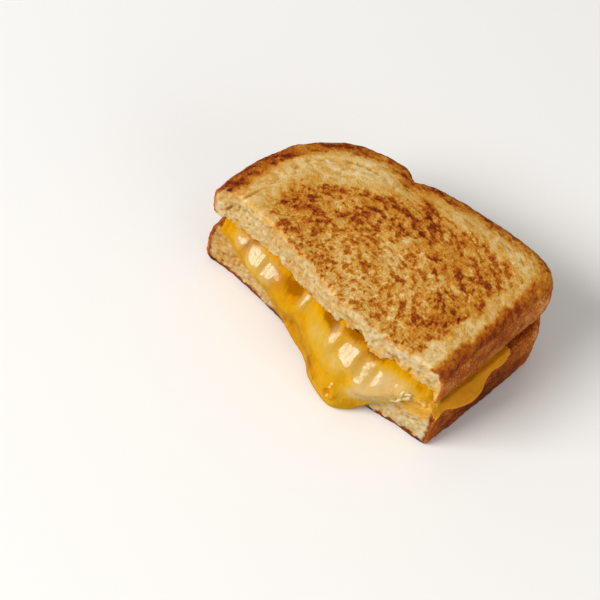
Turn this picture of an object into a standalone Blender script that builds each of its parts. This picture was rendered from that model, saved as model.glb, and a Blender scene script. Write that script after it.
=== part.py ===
"""Half of a grilled cheese sandwich, lying flat on its lower slice.

Two thick slices of white loaf bread, cut through the middle of the loaf, hold a
layer of melted cheese. The cheese has run out of the knife cut, hangs over the
lower slice there and has pooled in a toe on the surface below. A smaller lip has
squeezed out between the crusts at the loaf's base.

Plan directions while modelling: the knife cut runs along X, from the loaf's dome
(-X) to its base (+X), and faces -Y. The loaf's side wall faces +Y.
"""

import math

import bmesh
import bpy
import numpy as np
from mathutils import Vector, noise
from mathutils.geometry import delaunay_2d_cdt

MM = 0.001

# The loaf's plan, in millimetres
DOME_CENTRE_X = -19.0
DOME_CENTRE_Y = 10.0
DOME_REACH = 39.0  # from the dome's centre to its crown, along the cut
DOME_RISE = 49.4  # from the dome's centre to its widest place
DOME_SQUARENESS = 2.08  # exponent of the dome's superellipse: 2 is an ellipse
CROWN_TAPER = 0.5  # the crown draws in this much on its last stretch to the cut
NOTCH_X = -11.0  # where the dome bulges out over the side wall
NOTCH_DEPTH = 1.6
NOTCH_SPREAD = 2.2
WALL_START = 58.7  # the side wall's distance from the loaf's middle at the notch
WALL_START_X = -10.0
WALL_GAIN = 8.4  # how far the wall flares on its way to the base
WALL_FLARE_LENGTH = 17.0
CORNER_RADIUS = 15.0
CORNER_CENTRE_Y = 51.4
BASE_X = 53.6
BASE_FLARE = 1.2  # the base leans out this much towards the side wall
BASE_BOW = 0.5  # the base crust bows out this far, half way along
CUT_END_Y = 0.6
CUT_BULGE = 6.2  # the soft cut edge is squeezed outwards in its middle
CUT_BULGE_X = 18.0
CUT_BULGE_SPREAD = 32.0
CUT_CURL = 1.7  # and curls outwards a little where it meets the dome's crown
CUT_CURL_SPREAD = 9.0
FINE_STEP = 0.7  # spacing of the fine line that the outline's points are read from
OUTLINE_STEP = 4.2  # spacing of the outline's points
INNER_STEP = 5.2  # spacing of the points inside a face

# Heights, in millimetres
UNDER_SLICE_TOP = 20.4
TOP_SLICE_UNDERSIDE = 28.4
SANDWICH_TOP = 46.4
MIDDLE_SWELL = 3.4  # the cheese lifts the top slice this much at the middle of the cut
UNDER_DIP = 1.7  # and presses this much into the under slice
SWELL_X = 14.0
SWELL_SPREAD_X = 30.0
SWELL_SPREAD_Y = 34.0
RIM_DROP = 2.8  # the toasted face falls away towards the crust
RIM_DROP_LENGTH = 6.5
PINCH = 2.5  # each slice's inner face closes in on the other at the crust
PINCH_LENGTH = 6.0
OPEN_CROWN = 0.75  # share of the pinch that is missing at the crown, by the cut
TOP_SAG = 1.2  # the toasted face sags a little along the cut
WAVINESS = 0.5
WAVE_LENGTH = 21.0
GAP = 0.3  # clearance between touching pieces

# The under slice is pressed out wider at the base, in millimetres: all along it, and with
# more flare towards the side wall
UNDER_SPREAD = 1.3
UNDER_FLARE = 2.8

# Sides of a slice, from the outer rim inwards: share of the height, inset of the
# crust in millimetres, inset of the cut in millimetres
TOP_SLICE_SIDE = [
    (1.00, 3.4, 0.9),
    (0.94, 1.6, 0.2),
    (0.82, 0.5, 0.0),
    (0.55, 0.0, 0.0),
    (0.25, 0.2, 0.1),
    (0.06, 0.9, 0.3),
    (0.00, 2.4, 0.9),
]
UNDER_SLICE_SIDE = [
    (1.00, 2.4, 0.9),
    (0.93, 0.9, 0.3),
    (0.70, 0.1, 0.0),
    (0.35, 0.0, 0.0),
    (0.10, 0.2, 0.0),
    (0.00, 1.1, 0.4),
]

# Cheese hanging over the cut, by station along X: lower edge of the sheet, then how
# far it stands out from the cut at its top, its middle and its foot (millimetres)
DRAPE = [
    (-53.0, 20.6, 0.3, 0.4, 0.4),
    (-47.0, 17.5, 1.0, 1.4, 1.2),
    (-41.0, 13.8, 2.4, 2.8, 2.0),
    (-34.0, 14.6, 2.8, 3.8, 3.0),
    (-26.0, 12.8, 2.4, 3.8, 3.4),
    (-18.0, 8.6, 2.6, 4.4, 4.0),
    (-9.0, 4.2, 2.8, 4.6, 4.2),
    (0.0, 0.9, 2.8, 5.0, 5.0),
    (7.0, 0.0, 2.8, 6.0, 8.2),
    (14.0, 0.0, 3.2, 7.2, 10.0),
    (21.0, 0.0, 3.6, 7.4, 10.6),
    (26.5, 0.0, 3.8, 6.6, 6.6),
    (32.0, 7.6, 3.6, 5.2, 3.6),
    (39.0, 15.0, 3.0, 3.6, 2.4),
    (46.0, 19.6, 1.4, 1.4, 1.0),
    (52.0, 21.4, 0.3, 0.4, 0.4),
]
DRAPE_STATIONS = 46
CHEESE_INSET = 2.2  # the layer ends this far inside the crust
BACK_WAVE = 1.6  # and its edge there wanders in and out

# How the hanging cheese's front follows those three: share of the height from its top,
# then the weights of the top, the middle and the foot
DRAPE_PROFILE = [
    (0.00, 0.00, 0.00, 0.00),
    (0.02, 0.75, 0.00, 0.00),
    (0.10, 1.00, 0.00, 0.00),
    (0.24, 0.50, 0.50, 0.00),
    (0.42, 0.00, 1.00, 0.00),
    (0.58, 0.00, 0.50, 0.50),
    (0.72, 0.00, 0.30, 0.70),
    (0.86, 0.00, 0.00, 1.00),
    (0.94, 0.00, 0.00, 0.95),
    (0.985, 0.00, 0.00, 0.84),
    (1.00, 0.00, 0.00, 0.55),
]

# Cheese lip squeezed out of the seam at the base, by station along Y: its lower edge
# and how far it stands out of the crust (millimetres)
LIP = [
    (-3.0, 17.4, 0.5),
    (0.0, 20.6, 0.8),
    (3.0, 21.6, 1.0),
    (7.0, 18.6, 1.7),
    (11.0, 15.2, 2.4),
    (15.0, 13.8, 2.8),
    (18.5, 15.8, 2.4),
    (22.5, 20.4, 1.3),
    (28.0, 22.0, 0.9),
    (33.0, 21.6, 0.9),
    (38.0, 22.6, 0.5),
]
LIP_STATIONS = 34
SEAM_HEIGHT = 24.6
SEAM_HALF = 0.9  # half the lip's thickness where it passes between the crusts
LIP_RISE = 1.0  # how far the lip's top stands above the seam's middle
LIP_ROOT_X = 47.0
LIP_TUCK = 2.0  # the lip leans in over the crust's rounded shoulder, up to the seam
LIP_TUCK_FROM = 20.4  # height where that starts


def through(stations, column, at):
    """A smooth curve through one column of a station table, read at the given place."""
    places = [row[0] for row in stations]
    values = [row[column] for row in stations]
    slopes = np.gradient(values, places)
    at = min(max(at, places[0]), places[-1])
    k = min(max(int(np.searchsorted(places, at)) - 1, 0), len(places) - 2)
    span = places[k + 1] - places[k]
    t = (at - places[k]) / span
    start = (2 * t**3 - 3 * t**2 + 1) * values[k] + (t**3 - 2 * t**2 + t) * span * slopes[k]
    end = (3 * t**2 - 2 * t**3) * values[k + 1] + (t**3 - t**2) * span * slopes[k + 1]
    return start + end


def bump(distance):
    return math.exp(-distance * distance)


def smooth(share):
    share = min(max(share, 0.0), 1.0)
    return share * share * (3.0 - 2.0 * share)


def cut_y(x):
    """The knife cut's line in plan: nearly straight, with its middle squeezed out."""
    bulge = CUT_BULGE * bump((x - CUT_BULGE_X) / CUT_BULGE_SPREAD)
    curl = CUT_CURL * bump((x - DOME_CENTRE_X + DOME_REACH) / CUT_CURL_SPREAD)
    return CUT_END_Y - bulge - curl


def dome_y(x):
    reach = min(abs(x - DOME_CENTRE_X) / DOME_REACH, 1.0)
    return DOME_CENTRE_Y + DOME_RISE * (1.0 - reach**DOME_SQUARENESS) ** (1.0 / DOME_SQUARENESS)


def wall_y(x):
    return WALL_START + WALL_GAIN * (1.0 - math.exp(-max(x - WALL_START_X, 0.0) / WALL_FLARE_LENGTH))


def base_x(y, spread, flare):
    """The base crust's line in plan, moved out by spread, and by flare more at the side wall."""
    share = min(max(y / CORNER_CENTRE_Y, 0.0), 1.0)
    return BASE_X + spread + flare * share + BASE_BOW * math.sin(math.pi * share)


def crust_line(spread, flare):
    """The crust from the dome's end of the cut round to the base's end, finely sampled."""
    crown_x = DOME_CENTRE_X - DOME_REACH
    crown_end = crown_x + CROWN_TAPER
    points = [(crown_end, cut_y(crown_end))]
    for y in np.arange(FINE_STEP, DOME_CENTRE_Y, FINE_STEP):
        points.append((crown_x + CROWN_TAPER * (1.0 - y / DOME_CENTRE_Y) ** 2, y))
    for angle in np.radians(np.arange(0.0, 84.0, 1.0)):
        across = math.cos(angle) ** (2.0 / DOME_SQUARENESS)
        up = math.sin(angle) ** (2.0 / DOME_SQUARENESS)
        points.append((DOME_CENTRE_X - DOME_REACH * across, DOME_CENTRE_Y + DOME_RISE * up))
    for x in np.arange(points[-1][0] + FINE_STEP, BASE_X - CORNER_RADIUS, FINE_STEP):
        groove = NOTCH_DEPTH * bump((x - NOTCH_X) / NOTCH_SPREAD)
        side = dome_y(x) if x < NOTCH_X else wall_y(x)
        points.append((x, side - groove))
    corner_x = base_x(CORNER_CENTRE_Y, spread, flare) - CORNER_RADIUS
    corner_top = points[-1][1] - CORNER_CENTRE_Y
    for angle in np.radians(np.arange(86.0, -1.0, -2.0)):
        rise = corner_top * math.sin(angle)
        points.append((corner_x + CORNER_RADIUS * math.cos(angle), CORNER_CENTRE_Y + rise))
    base_end = base_x(0.0, spread, flare)
    for y in np.arange(CORNER_CENTRE_Y - FINE_STEP, cut_y(base_end), -FINE_STEP):
        points.append((base_x(y, spread, flare), y))
    points.append((base_end, cut_y(base_end)))
    return np.array(points)


def evenly(points, step):
    """The same line with its points a steady step apart, both ends kept."""
    lengths = np.concatenate([[0.0], np.cumsum(np.linalg.norm(np.diff(points, axis=0), axis=1))])
    count = max(int(round(lengths[-1] / step)), 2)
    at = np.linspace(0.0, lengths[-1], count + 1)
    return np.stack([np.interp(at, lengths, points[:, k]) for k in (0, 1)], axis=1)


def distance_to(line, x, y):
    """Distance in plan from a point to a line of points."""
    a, b = line[:-1], line[1:]
    along = b - a
    to_point = np.array([x, y]) - a
    t = np.clip((to_point * along).sum(1) / (along * along).sum(1), 0.0, 1.0)
    return float(np.linalg.norm(to_point - t[:, None] * along, axis=1).min())


def wave(x, y, seed):
    """Gentle unevenness of hand-pressed bread, between about -1 and 1."""
    return noise.noise(Vector((x / WAVE_LENGTH, y / WAVE_LENGTH, seed)))


def inward_directions(line):
    """Unit vectors to the right of a line: inwards, as the outline runs clockwise from above."""
    along = np.gradient(line, axis=0)
    unit = along / np.linalg.norm(along, axis=1)[:, None]
    return np.stack([unit[:, 1], -unit[:, 0]], axis=1)


class Plan:
    """A slice's outline: its crust line, its cut line and the inward directions of both."""

    def __init__(self, spread, flare):
        self.crust_fine = crust_line(spread, flare)
        notch = int(np.argmax(self.crust_fine[:, 0] > NOTCH_X))
        dome = evenly(self.crust_fine[: notch + 1], OUTLINE_STEP)
        side = evenly(self.crust_fine[notch:], OUTLINE_STEP)
        crust = np.concatenate([dome, side[1:]])
        cut_count = int(round((crust[-1][0] - crust[0][0]) / OUTLINE_STEP))
        cut = np.array([(x, cut_y(x)) for x in np.linspace(crust[-1][0], crust[0][0], cut_count + 1)])
        self.points = np.concatenate([crust, cut[1:-1]])
        last = len(crust) - 1
        self.from_crust = np.zeros_like(self.points)
        self.from_crust[: last + 1] = inward_directions(crust)
        cut_inward = inward_directions(cut)
        self.from_cut = np.zeros_like(self.points)
        self.from_cut[last:] = cut_inward[:-1]
        self.from_cut[0] = cut_inward[-1]

    def ring(self, crust_inset, cut_inset):
        return self.points + crust_inset * self.from_crust + cut_inset * self.from_cut

    def crust_distance(self, x, y):
        return distance_to(self.crust_fine, x, y)


def middle_swell(x, y):
    """1 where the filling is thickest, at the middle of the cut, and 0 far from it."""
    return bump((x - SWELL_X) / SWELL_SPREAD_X) * bump(max(y, 0.0) / SWELL_SPREAD_Y)


def pinch(plan, x, y):
    """How far the slices' inner faces close in near the crust: less at the open dome end."""
    from_crown = x - DOME_CENTRE_X + DOME_REACH
    openness = OPEN_CROWN * bump(from_crown / CORNER_RADIUS) * bump(y / CORNER_RADIUS)
    return PINCH * (1.0 - openness) * bump(plan.crust_distance(x, y) / PINCH_LENGTH)


def top_face(plan, x, y):
    drop = RIM_DROP * math.exp(-plan.crust_distance(x, y) / RIM_DROP_LENGTH)
    sag = TOP_SAG * bump((x - SWELL_X) / SWELL_SPREAD_X) * bump(max(y, 0.0) / CORNER_RADIUS)
    return SANDWICH_TOP - drop - sag + WAVINESS * wave(x, y, 3.0)


def top_slice_underside(plan, x, y):
    return TOP_SLICE_UNDERSIDE + MIDDLE_SWELL * middle_swell(x, y) - pinch(plan, x, y)


def under_slice_top(plan, x, y):
    return UNDER_SLICE_TOP - UNDER_DIP * middle_swell(x, y) + pinch(plan, x, y)


def fill_face(mesh, ring, height_at, upwards):
    """Closes a ring of vertices with an uneven sheet of triangles at the given heights."""
    outline = np.array([v.co[:2] for v in ring])
    low, high = outline.min(0), outline.max(0)
    loop = np.concatenate([outline, outline[:1]])
    inner = []
    row = 0
    y = low[1] + INNER_STEP / 2
    while y < high[1]:
        x = low[0] + INNER_STEP * (0.5 + 0.5 * (row % 2))
        while x < high[0]:
            if inside(outline, x, y) and distance_to(loop, x, y) > 0.55 * INNER_STEP:
                inner.append((x, y))
            x += INNER_STEP
        y += INNER_STEP * math.sqrt(0.75)
        row += 1
    coords = [Vector(p) for p in outline] + [Vector(p) for p in inner]
    border = list(range(len(outline)))
    made = delaunay_2d_cdt(coords, [], [border], 1, 1e-6)
    vertices = list(ring)
    for x, y in inner:
        vertices.append(mesh.verts.new((x, y, height_at(x, y))))
    for corners in made[2]:
        face = [vertices[made[3][k][0]] for k in corners]
        mesh.faces.new(face if upwards else face[::-1])


def inside(outline, x, y):
    ax, ay = outline[:, 0], outline[:, 1]
    bx, by = np.roll(ax, -1), np.roll(ay, -1)
    crosses = (ay > y) != (by > y)
    at = ax + (y - ay) * (bx - ax) / np.where(crosses, by - ay, 1.0)
    return bool((crosses & (x < at)).sum() % 2)


def slice_mesh(plan, side, top_at, under_at):
    """A slice as a stack of rings down its side, closed by its two faces."""
    mesh = bmesh.new()
    rings = []
    for share, crust_inset, cut_inset in side:
        ring = []
        for x, y in plan.ring(crust_inset, cut_inset):
            low, high = under_at(x, y), top_at(x, y)
            ring.append(mesh.verts.new((x, y, low + share * (high - low))))
        rings.append(ring)
    for upper, lower in zip(rings, rings[1:]):
        for k in range(len(upper)):
            after = (k + 1) % len(upper)
            mesh.faces.new((upper[k], upper[after], lower[after], lower[k]))
    fill_face(mesh, rings[0], top_at, True)
    fill_face(mesh, rings[-1], under_at, False)
    return mesh


def drape_section(plan, x):
    """The cheese's section across X: the layer between the slices and what hangs in front."""
    front = cut_y(x)
    far_side = plan.crust_fine[plan.crust_fine[:, 1] > 1.0]
    rising = far_side[: int(np.argmax(far_side[:, 0])) + 1]
    back = float(np.interp(x, rising[:, 0], rising[:, 1])) - CHEESE_INSET - BACK_WAVE * wave(2.0 * x, 0.0, 7.0)
    low, at_top, at_middle, at_foot = (through(DRAPE, k, x) for k in (1, 2, 3, 4))
    shares = np.linspace(1.0, 0.0, 8)
    across = [front + 1.2 + s * (back - front - 1.2) for s in shares]
    section = [(y, top_slice_underside(plan, x, y) - GAP) for y in across]
    ceiling = top_slice_underside(plan, x, front) - GAP
    shelf = under_slice_top(plan, x, front) + GAP
    low = max(min(low, shelf - 0.4), 0.0)
    tall = ceiling - low
    for share, top, middle, foot in DRAPE_PROFILE:
        out = top * at_top + middle * at_middle + foot * at_foot
        section.append((front - max(out, GAP + 0.05), ceiling - share * tall))
    section += [(front - GAP, low + s * (shelf - low)) for s in (0.0, 0.3, 0.65, 1.0)]
    section += [(y, under_slice_top(plan, x, y) + GAP) for y in across[::-1]]
    return section


def cheese_mesh(plan):
    """The melted layer and its drape, lofted through sections along the cut."""
    mesh = bmesh.new()
    places = np.linspace(DRAPE[0][0], DRAPE[-1][0], DRAPE_STATIONS)
    rings = [[mesh.verts.new((x, y, z)) for y, z in drape_section(plan, x)] for x in places]
    loft(mesh, rings)
    return mesh


def shoulder_x(y, height):
    """Where the lip's inner side lies: against the crust below, leaning in towards the seam."""
    lean = LIP_TUCK * smooth((height - LIP_TUCK_FROM) / (SEAM_HEIGHT - LIP_TUCK_FROM))
    return base_x(y, UNDER_SPREAD, UNDER_FLARE) + GAP - lean


def lip_mesh():
    """The lip at the base: a drip down the crust, rooted in the layer through the seam."""
    mesh = bmesh.new()
    rings = []
    for y in np.linspace(LIP[0][0], LIP[-1][0], LIP_STATIONS):
        lower, stands = (through(LIP, k, y) for k in (1, 2))
        upper = SEAM_HEIGHT + LIP_RISE
        ring = [(LIP_ROOT_X, SEAM_HEIGHT - SEAM_HALF), (shoulder_x(y, SEAM_HEIGHT), SEAM_HEIGHT - SEAM_HALF)]
        for height in np.linspace(SEAM_HEIGHT - 1.5 * SEAM_HALF, lower, 4):
            ring.append((shoulder_x(y, height), height))
        for degrees in np.arange(-75.0, 76.0, 25.0):
            angle = math.radians(degrees)
            height = 0.5 * (upper + lower) + 0.5 * (upper - lower) * math.sin(angle)
            sag = 0.25 * stands * (1.0 - math.sin(angle))  # fuller towards its lower edge
            ring.append((shoulder_x(y, height) + (0.75 * stands + sag) * math.cos(angle), height))
        ring += [(shoulder_x(y, upper), upper), (shoulder_x(y, upper) - GAP, SEAM_HEIGHT + SEAM_HALF)]
        ring.append((LIP_ROOT_X, SEAM_HEIGHT + SEAM_HALF))
        rings.append([mesh.verts.new((x, y, z)) for x, z in ring])
    loft(mesh, rings)
    return mesh


def loft(mesh, rings):
    """Skins a row of equal rings and closes both ends."""
    for left, right in zip(rings, rings[1:]):
        for k in range(len(left)):
            after = (k + 1) % len(left)
            mesh.faces.new((left[k], left[after], right[after], right[k]))
    mesh.faces.new(rings[0][::-1])
    mesh.faces.new(rings[-1])


def material(name, colour, roughness, subsurface=0.0):
    made = bpy.data.materials.new(name)
    made.use_nodes = True
    shader = made.node_tree.nodes["Principled BSDF"]
    shader.inputs["Base Color"].default_value = (*colour, 1.0)
    shader.inputs["Roughness"].default_value = roughness
    shader.inputs["Subsurface Weight"].default_value = subsurface
    return made


def node(name, mesh, finish, collection):
    """A named object from a mesh in millimetres, with its faces pointing outwards."""
    bmesh.ops.recalc_face_normals(mesh, faces=mesh.faces)
    bmesh.ops.scale(mesh, vec=(MM, MM, MM), verts=mesh.verts)
    data = bpy.data.meshes.new(name)
    mesh.to_mesh(data)
    mesh.free()
    data.materials.append(finish)
    data.shade_smooth()
    made = bpy.data.objects.new(name, data)
    collection.objects.link(made)
    return made


def join(target, helper):
    union = target.modifiers.new("join_" + helper.name, "BOOLEAN")
    union.operation = "UNION"
    union.object = helper
    helper.hide_render = True
    helper.display_type = "WIRE"


def rest_on_origin(pieces, helpers):
    """Moves everything so that the middle of the footprint is the origin, and z=0 the surface below."""
    bpy.context.view_layer.update()
    corners = np.array([piece.matrix_world @ Vector(c) for piece in pieces for c in piece.bound_box])
    middle = 0.5 * (corners.min(0) + corners.max(0))
    for each in pieces + helpers:
        each.location = (-middle[0], -middle[1], 0.0)


def main():
    for old in list(bpy.data.objects):
        bpy.data.objects.remove(old)
    parts = bpy.data.collections.new("grilled_cheese_half")
    cutters = bpy.data.collections.new("helpers")
    for collection in (parts, cutters):
        bpy.context.scene.collection.children.link(collection)

    toast = material("toasted_bread", (0.55, 0.27, 0.07), 0.75)
    melt = material("melted_cheese", (0.80, 0.42, 0.03), 0.28, 0.2)

    top_plan, under_plan = Plan(0.0, BASE_FLARE), Plan(UNDER_SPREAD, UNDER_FLARE)
    top = slice_mesh(
        top_plan,
        TOP_SLICE_SIDE,
        lambda x, y: top_face(top_plan, x, y),
        lambda x, y: top_slice_underside(top_plan, x, y),
    )
    under = slice_mesh(
        under_plan,
        UNDER_SLICE_SIDE,
        lambda x, y: under_slice_top(under_plan, x, y),
        lambda x, y: 0.0,
    )
    bread_top = node("bread_top", top, toast, parts)
    bread_bottom = node("bread_bottom", under, toast, parts)
    cheese = node("cheese", cheese_mesh(top_plan), melt, parts)
    lip = node("cheese_lip", lip_mesh(), melt, cutters)
    join(cheese, lip)
    rest_on_origin([bread_top, bread_bottom, cheese], [lip])


main()
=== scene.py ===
import math

import bmesh
import bpy
import numpy as np
from mathutils import Matrix, Vector, noise
from mathutils.bvhtree import BVHTree


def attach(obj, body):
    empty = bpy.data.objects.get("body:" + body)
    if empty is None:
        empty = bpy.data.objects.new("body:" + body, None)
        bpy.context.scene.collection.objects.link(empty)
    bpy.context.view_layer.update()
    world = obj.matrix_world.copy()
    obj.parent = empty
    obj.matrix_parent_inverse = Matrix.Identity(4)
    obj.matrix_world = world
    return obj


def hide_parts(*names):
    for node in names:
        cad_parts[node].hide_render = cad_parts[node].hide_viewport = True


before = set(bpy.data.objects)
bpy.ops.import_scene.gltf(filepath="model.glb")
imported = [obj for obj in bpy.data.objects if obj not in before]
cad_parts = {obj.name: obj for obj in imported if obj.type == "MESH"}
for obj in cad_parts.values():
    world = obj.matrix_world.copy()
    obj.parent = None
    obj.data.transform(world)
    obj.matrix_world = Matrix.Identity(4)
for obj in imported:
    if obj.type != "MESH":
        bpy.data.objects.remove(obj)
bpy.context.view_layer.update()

mm = 0.001
mergeDistance = 0.01 * mm

# the knife's path along the front, bowed outwards where the filling swells
knifeCut = {"line": -24.4, "bow": 6.2, "bowMiddle": 17.4, "bowReach": 32.0}


def srgb(code):
    channels = [int(code[k : k + 2], 16) / 255 for k in (1, 3, 5)]
    linear = [c / 12.92 if c <= 0.04045 else ((c + 0.055) / 1.055) ** 2.4 for c in channels]
    return (*linear, 1.0)


def setStops(ramp, stops):
    while len(ramp.elements) < len(stops):
        ramp.elements.new(0.5)
    for element, (place, code) in zip(ramp.elements, stops):
        element.position = place
        element.color = srgb(code)


def addNode(tree, kind, settings=None, inputs=None):
    # adds one node with its settings and links, and gives back its outputs
    node = tree.nodes.new(kind)
    for name, value in (settings or {}).items():
        if name == "stops":
            setStops(node.color_ramp, value)
        else:
            setattr(node, name, value)
    for name, value in (inputs or {}).items():
        if isinstance(value, bpy.types.NodeSocket):
            tree.links.new(value, node.inputs[name])
        else:
            node.inputs[name].default_value = value
    return node.outputs


def addUp(tree, base, parts):
    # a base value plus each part times its weight
    for part, weight in parts:
        inputs = {0: part, 1: weight, 2: base}
        base = addNode(tree, "ShaderNodeMath", {"operation": "MULTIPLY_ADD"}, inputs)[0]
    return base


def paintOver(tree, colour, coats):
    # lays colours over each other, each as strongly as its mask says
    for mask, coat in coats:
        colour = addNode(tree, "ShaderNodeMix", {"data_type": "RGBA"}, {0: mask, 6: colour, 7: coat})[2]
    return colour


def perSize(*sizes):
    # pattern scales for sizes in millimetres
    return tuple(1 / (size * mm) for size in sizes)


def smoothStep(low, high, x):
    t = np.clip((x - low) / (high - low), 0.0, 1.0)
    return t * t * (3.0 - 2.0 * t)


def mound(x):
    return np.exp(-x * x)


def places(mesh):
    # vertex positions in millimetres
    flat = np.empty(len(mesh.vertices) * 3)
    mesh.vertices.foreach_get("co", flat)
    return flat.reshape(-1, 3) / mm


def placeVertices(mesh, points):
    mesh.vertices.foreach_set("co", (points * mm).ravel())
    mesh.update()


def directions(mesh):
    flat = np.empty(len(mesh.vertices) * 3)
    mesh.vertices.foreach_get("normal", flat)
    return flat.reshape(-1, 3)


def storeValues(mesh, **layers):
    # one attribute for each name, which the materials read
    for name, values in layers.items():
        layer = mesh.attributes.new(name, "FLOAT", "POINT")
        layer.data.foreach_set("value", values.astype(np.float32))


def roughness3d(points, size, seed, octaves=3):
    # fractal unevenness between about -1 and 1, with lumps of the given size in millimetres
    shift = Vector((seed * 7.1, seed * 3.7, seed * 5.3))  # takes each seed to a place of its own
    return np.array([noise.fractal(Vector(p) / size + shift, 0.8, 2.0, octaves) for p in points])


def addToScene(name, data):
    added = bpy.data.objects.new(name, data)
    bpy.context.scene.collection.objects.link(added)
    return added


def bakeModifiers(piece):
    graph = bpy.context.evaluated_depsgraph_get()
    finished = bpy.data.meshes.new_from_object(piece.evaluated_get(graph))
    old = piece.data
    piece.modifiers.clear()
    piece.data = finished
    bpy.data.meshes.remove(old)
    finished.name = piece.name


def mergeCorners(mesh, addition=None):
    shell = bmesh.new()
    shell.from_mesh(mesh)
    bmesh.ops.remove_doubles(shell, verts=shell.verts, dist=mergeDistance)
    if addition:
        addition(shell)
    shell.to_mesh(mesh)
    shell.free()


def softCopy(nodeName, pieceName, voxel, passes, addition=None):
    # a merged copy of a CAD solid, with an addition worked in, remeshed finely and rounded
    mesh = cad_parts[nodeName].data.copy()
    mergeCorners(mesh, addition)
    piece = addToScene(pieceName, mesh)
    remesh = piece.modifiers.new("fineSkin", "REMESH")
    remesh.mode = "VOXEL"
    remesh.voxel_size = voxel * mm
    remesh.use_smooth_shade = True
    rounding = piece.modifiers.new("rounding", "SMOOTH")
    rounding.factor = 0.5
    rounding.iterations = passes
    bakeModifiers(piece)
    piece.data.materials.clear()
    return piece


def facesOf(nodeName, wanted):
    # the CAD solid's faces that pass a test on their normal and centre, for measuring distances to
    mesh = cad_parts[nodeName].data
    corners = [Vector(place) for place in places(mesh)]
    kept = [tuple(f.vertices) for f in mesh.polygons if wanted(f.normal, f.center / mm)]
    return BVHTree.FromPolygons(corners, kept)


def distanceTo(tree, points):
    return np.array([tree.find_nearest(Vector(p))[3] for p in points])


def readAlong(stations, column, at):
    return np.interp(at, [row[0] for row in stations], [row[column] for row in stations])


def cutLine(x):
    return knifeCut["line"] - knifeCut["bow"] * mound((x - knifeCut["bowMiddle"]) / knifeCut["bowReach"])


def spots(rows, x, z):
    # the sum of soft round spots: x, height, half width, half height, amount
    total = 0.0 * z
    for px, pz, halfWidth, halfHeight, amount in rows:
        total += amount * np.exp(-((x - px) / halfWidth) ** 2 - ((z - pz) / halfHeight) ** 2)
    return total


breadLooks = {
    "fried": [
        (0.00, "#E0CC9C"), (0.14, "#D8B87C"), (0.26, "#D0A255"), (0.38, "#C88F38"), (0.48, "#BF7C20"),
        (0.57, "#B36A12"), (0.66, "#A4540B"), (0.76, "#903E07"), (0.86, "#792D05"), (1.00, "#521B03"),
    ],
    "crumb": [
        (0.00, "#C9B99A"), (0.20, "#C4AF84"), (0.40, "#BE9B5E"),
        (0.60, "#B4823C"), (0.80, "#A46420"), (1.00, "#8A4812"),
    ],
    "crust": [
        (0.00, "#E0AC6C"), (0.20, "#CE8440"), (0.38, "#B86414"),
        (0.56, "#A8500A"), (0.74, "#8A3A04"), (1.00, "#5A2200"),
    ],
    "buttered": "#CE941E",
    "streak": (5.2, 2.3),  # length and width
    "wander": (7.0, (5.0, 5.0, 3.0)),  # how far apart and how far the streaks are pushed about
    # noise patterns: size, detail, roughness
    "patterns": {
        "clumps": (7.0, 2.0, 0.6), "crumbly": (2.4, 3.0, 0.6), "grain": (0.8, 2.0, 0.6),
        "fuzz": (0.6, 3.0, 0.75), "scorch": (5.0, 4.0, 0.6), "crumbs": (0.5, 3.0, 0.6),
    },
    "hollows": (4.2, 2.0, 0.5),
    "grainDepth": 0.45,
}


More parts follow.
